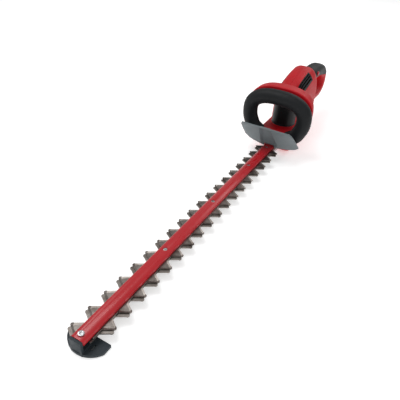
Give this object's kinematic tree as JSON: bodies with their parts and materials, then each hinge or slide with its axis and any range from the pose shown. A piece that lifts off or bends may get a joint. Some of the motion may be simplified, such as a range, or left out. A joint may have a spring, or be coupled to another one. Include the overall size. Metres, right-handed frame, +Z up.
{
  "type": "hedge trimmer",
  "caption": "Electric hedge trimmer with a double-sided reciprocating blade bar, front loop handle, hand guard and rear D handle with trigger.",
  "frame": {"origin": "centre of the bounding box, on the surface that the tool lies on", "axes": "-Y points along the blade bar to its tip, +Y to the rear handle, +Z up from the flat of the blades"},
  "size_m": [0.1558, 0.9317, 0.158],
  "materials": {
    "housing_red": "moulded red plastic, satin gloss",
    "soft_black": "soft overmoulded grip, satin",
    "hard_black": "moulded black plastic, fine texture",
    "guard_grey": "moulded grey plastic, satin",
    "tip_dark": "moulded dark grey plastic",
    "rail_red": "powder-coated red steel",
    "zinc_steel": "bright zinc-plated steel",
    "blade_steel": "laser-cut blade steel with ground edges",
    "drive_steel": "oiled gear steel",
    "cast_alloy": "die-cast alloy, as cast",
    "bronze": "sintered bronze",
    "brass": "bright brass",
    "ferrite": "dark ferrite magnet",
    "carbon": "pressed carbon",
    "copper_winding": "copper wire and laminations, one material standing for both",
    "fan_plastic": "off-white moulded plastic",
    "control_red": "dark red moulded plastic"
  },
  "bodies": {
    "housing": {"housing_left": "housing_red", "housing_right": "housing_red", "motor_front_cover": "hard_black", "vent_panel_left": "hard_black", "vent_panel_right": "hard_black", "rear_grip": "soft_black", "housing_screws": "zinc_steel", "loop_shell": "housing_red", "loop_grip": "soft_black", "hand_guard": "guard_grey", "guard_screws": "zinc_steel", "gearcase_base": "cast_alloy", "gearcase_cover": "cast_alloy", "gearcase_screws": "zinc_steel", "flange_screws": "zinc_steel", "blade_rail": "rail_red", "tip_guard": "tip_dark", "rail_screws": "zinc_steel", "guide_bushes": "bronze", "guide_washers": "zinc_steel", "rail_nuts": "zinc_steel", "crank_lower_bearing": "bronze", "crank_upper_bearing": "bronze", "motor_can": "zinc_steel", "motor_magnets": "ferrite", "motor_end_cap": "hard_black", "motor_brushes": "carbon", "motor_lower_bearing": "drive_steel", "trigger_pin": "zinc_steel", "switch_body": "hard_black", "power_inlet": "hard_black", "inlet_prongs": "brass"},
    "upper_blade": {"upper_blade": "blade_steel"},
    "lower_blade": {"lower_blade": "blade_steel"},
    "crank": {"crankshaft": "drive_steel", "crank_gear": "drive_steel"},
    "rotor": {"armature": "copper_winding", "motor_shaft": "drive_steel", "commutator": "copper_winding", "motor_pinion": "drive_steel", "cooling_fan": "fan_plastic"},
    "trigger": {"trigger": "control_red"},
    "lock_off": {"lock_off_button": "control_red"}
  },
  "joints": [
    {"name": "crank_turn", "type": "hinge", "parent": "housing", "child": "crank", "pos_m": [0, 0.193, 0.02], "axis": [0, 0, 1], "range_deg": [-120, 60]},
    {"name": "upper_blade_slide", "type": "slide", "parent": "housing", "child": "upper_blade", "axis": [0, 1, 0], "range_m": [-0.01067, 0.00534]},
    {"name": "lower_blade_slide", "type": "slide", "parent": "housing", "child": "lower_blade", "axis": [0, 1, 0], "range_m": [-0.00534, 0.01067]},
    {"name": "rotor_turn", "type": "hinge", "parent": "housing", "child": "rotor", "pos_m": [0, 0.228, 0.06], "axis": [0, 0, 1], "range_deg": [-360, 720]},
    {"name": "trigger_squeeze", "type": "hinge", "parent": "housing", "child": "trigger", "pos_m": [0, 0.364, 0.115], "axis": [1, 0, 0], "range_deg": [0, 10], "stiffness_Nm_per_rad": 0.3, "springref_deg": -8.59},
    {"name": "lock_off_press", "type": "slide", "parent": "housing", "child": "lock_off", "axis": [1, 0, 0], "range_m": [-0.0025, 0.0025], "stiffness_N_per_m": 500}
  ],
  "couplings": [
    {"joint": "upper_blade_slide", "follows": "crank_turn", "m_per_rad": 0.005093},
    {"joint": "lower_blade_slide", "follows": "crank_turn", "m_per_rad": -0.005093},
    {"joint": "rotor_turn", "follows": "crank_turn", "ratio": -6}
  ]
}
